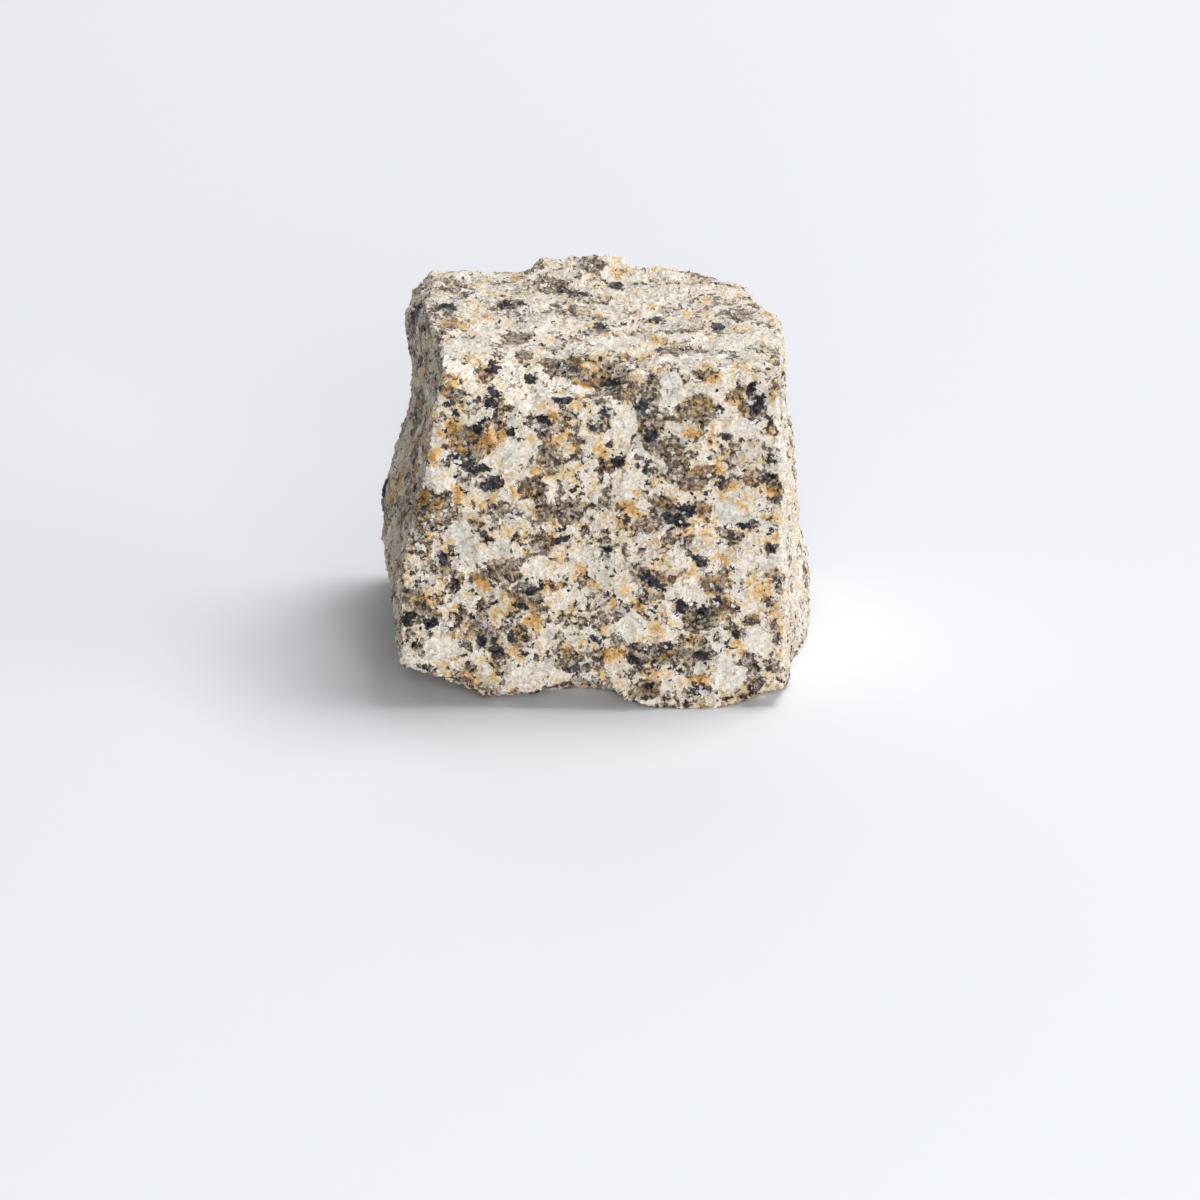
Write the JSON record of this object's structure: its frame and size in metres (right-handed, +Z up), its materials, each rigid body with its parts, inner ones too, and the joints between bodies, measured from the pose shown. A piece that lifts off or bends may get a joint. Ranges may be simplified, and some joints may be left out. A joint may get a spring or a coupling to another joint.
{
  "type": "stone paving sett",
  "caption": "Small hand-split granite paving sett: a rough cube with cleft sides and top, flaked arrises and a flat bed to rest on.",
  "frame": {"origin": "on the bed, under the middle of the block's outline", "axes": "+X along the longest side, towards the side with the fewest flakes; +Y from the front face, whose top arris has the long scar and the scoop, to the back; +Z up from the bed, the shortest way"},
  "size_m": [0.0744, 0.0658, 0.061],
  "materials": {
    "granite": "rough split face: cream feldspar, grey to brown quartz, black mica and rust-yellow stain"
  },
  "bodies": {
    "root": {"granite_sett": "granite"}
  },
  "joints": []
}
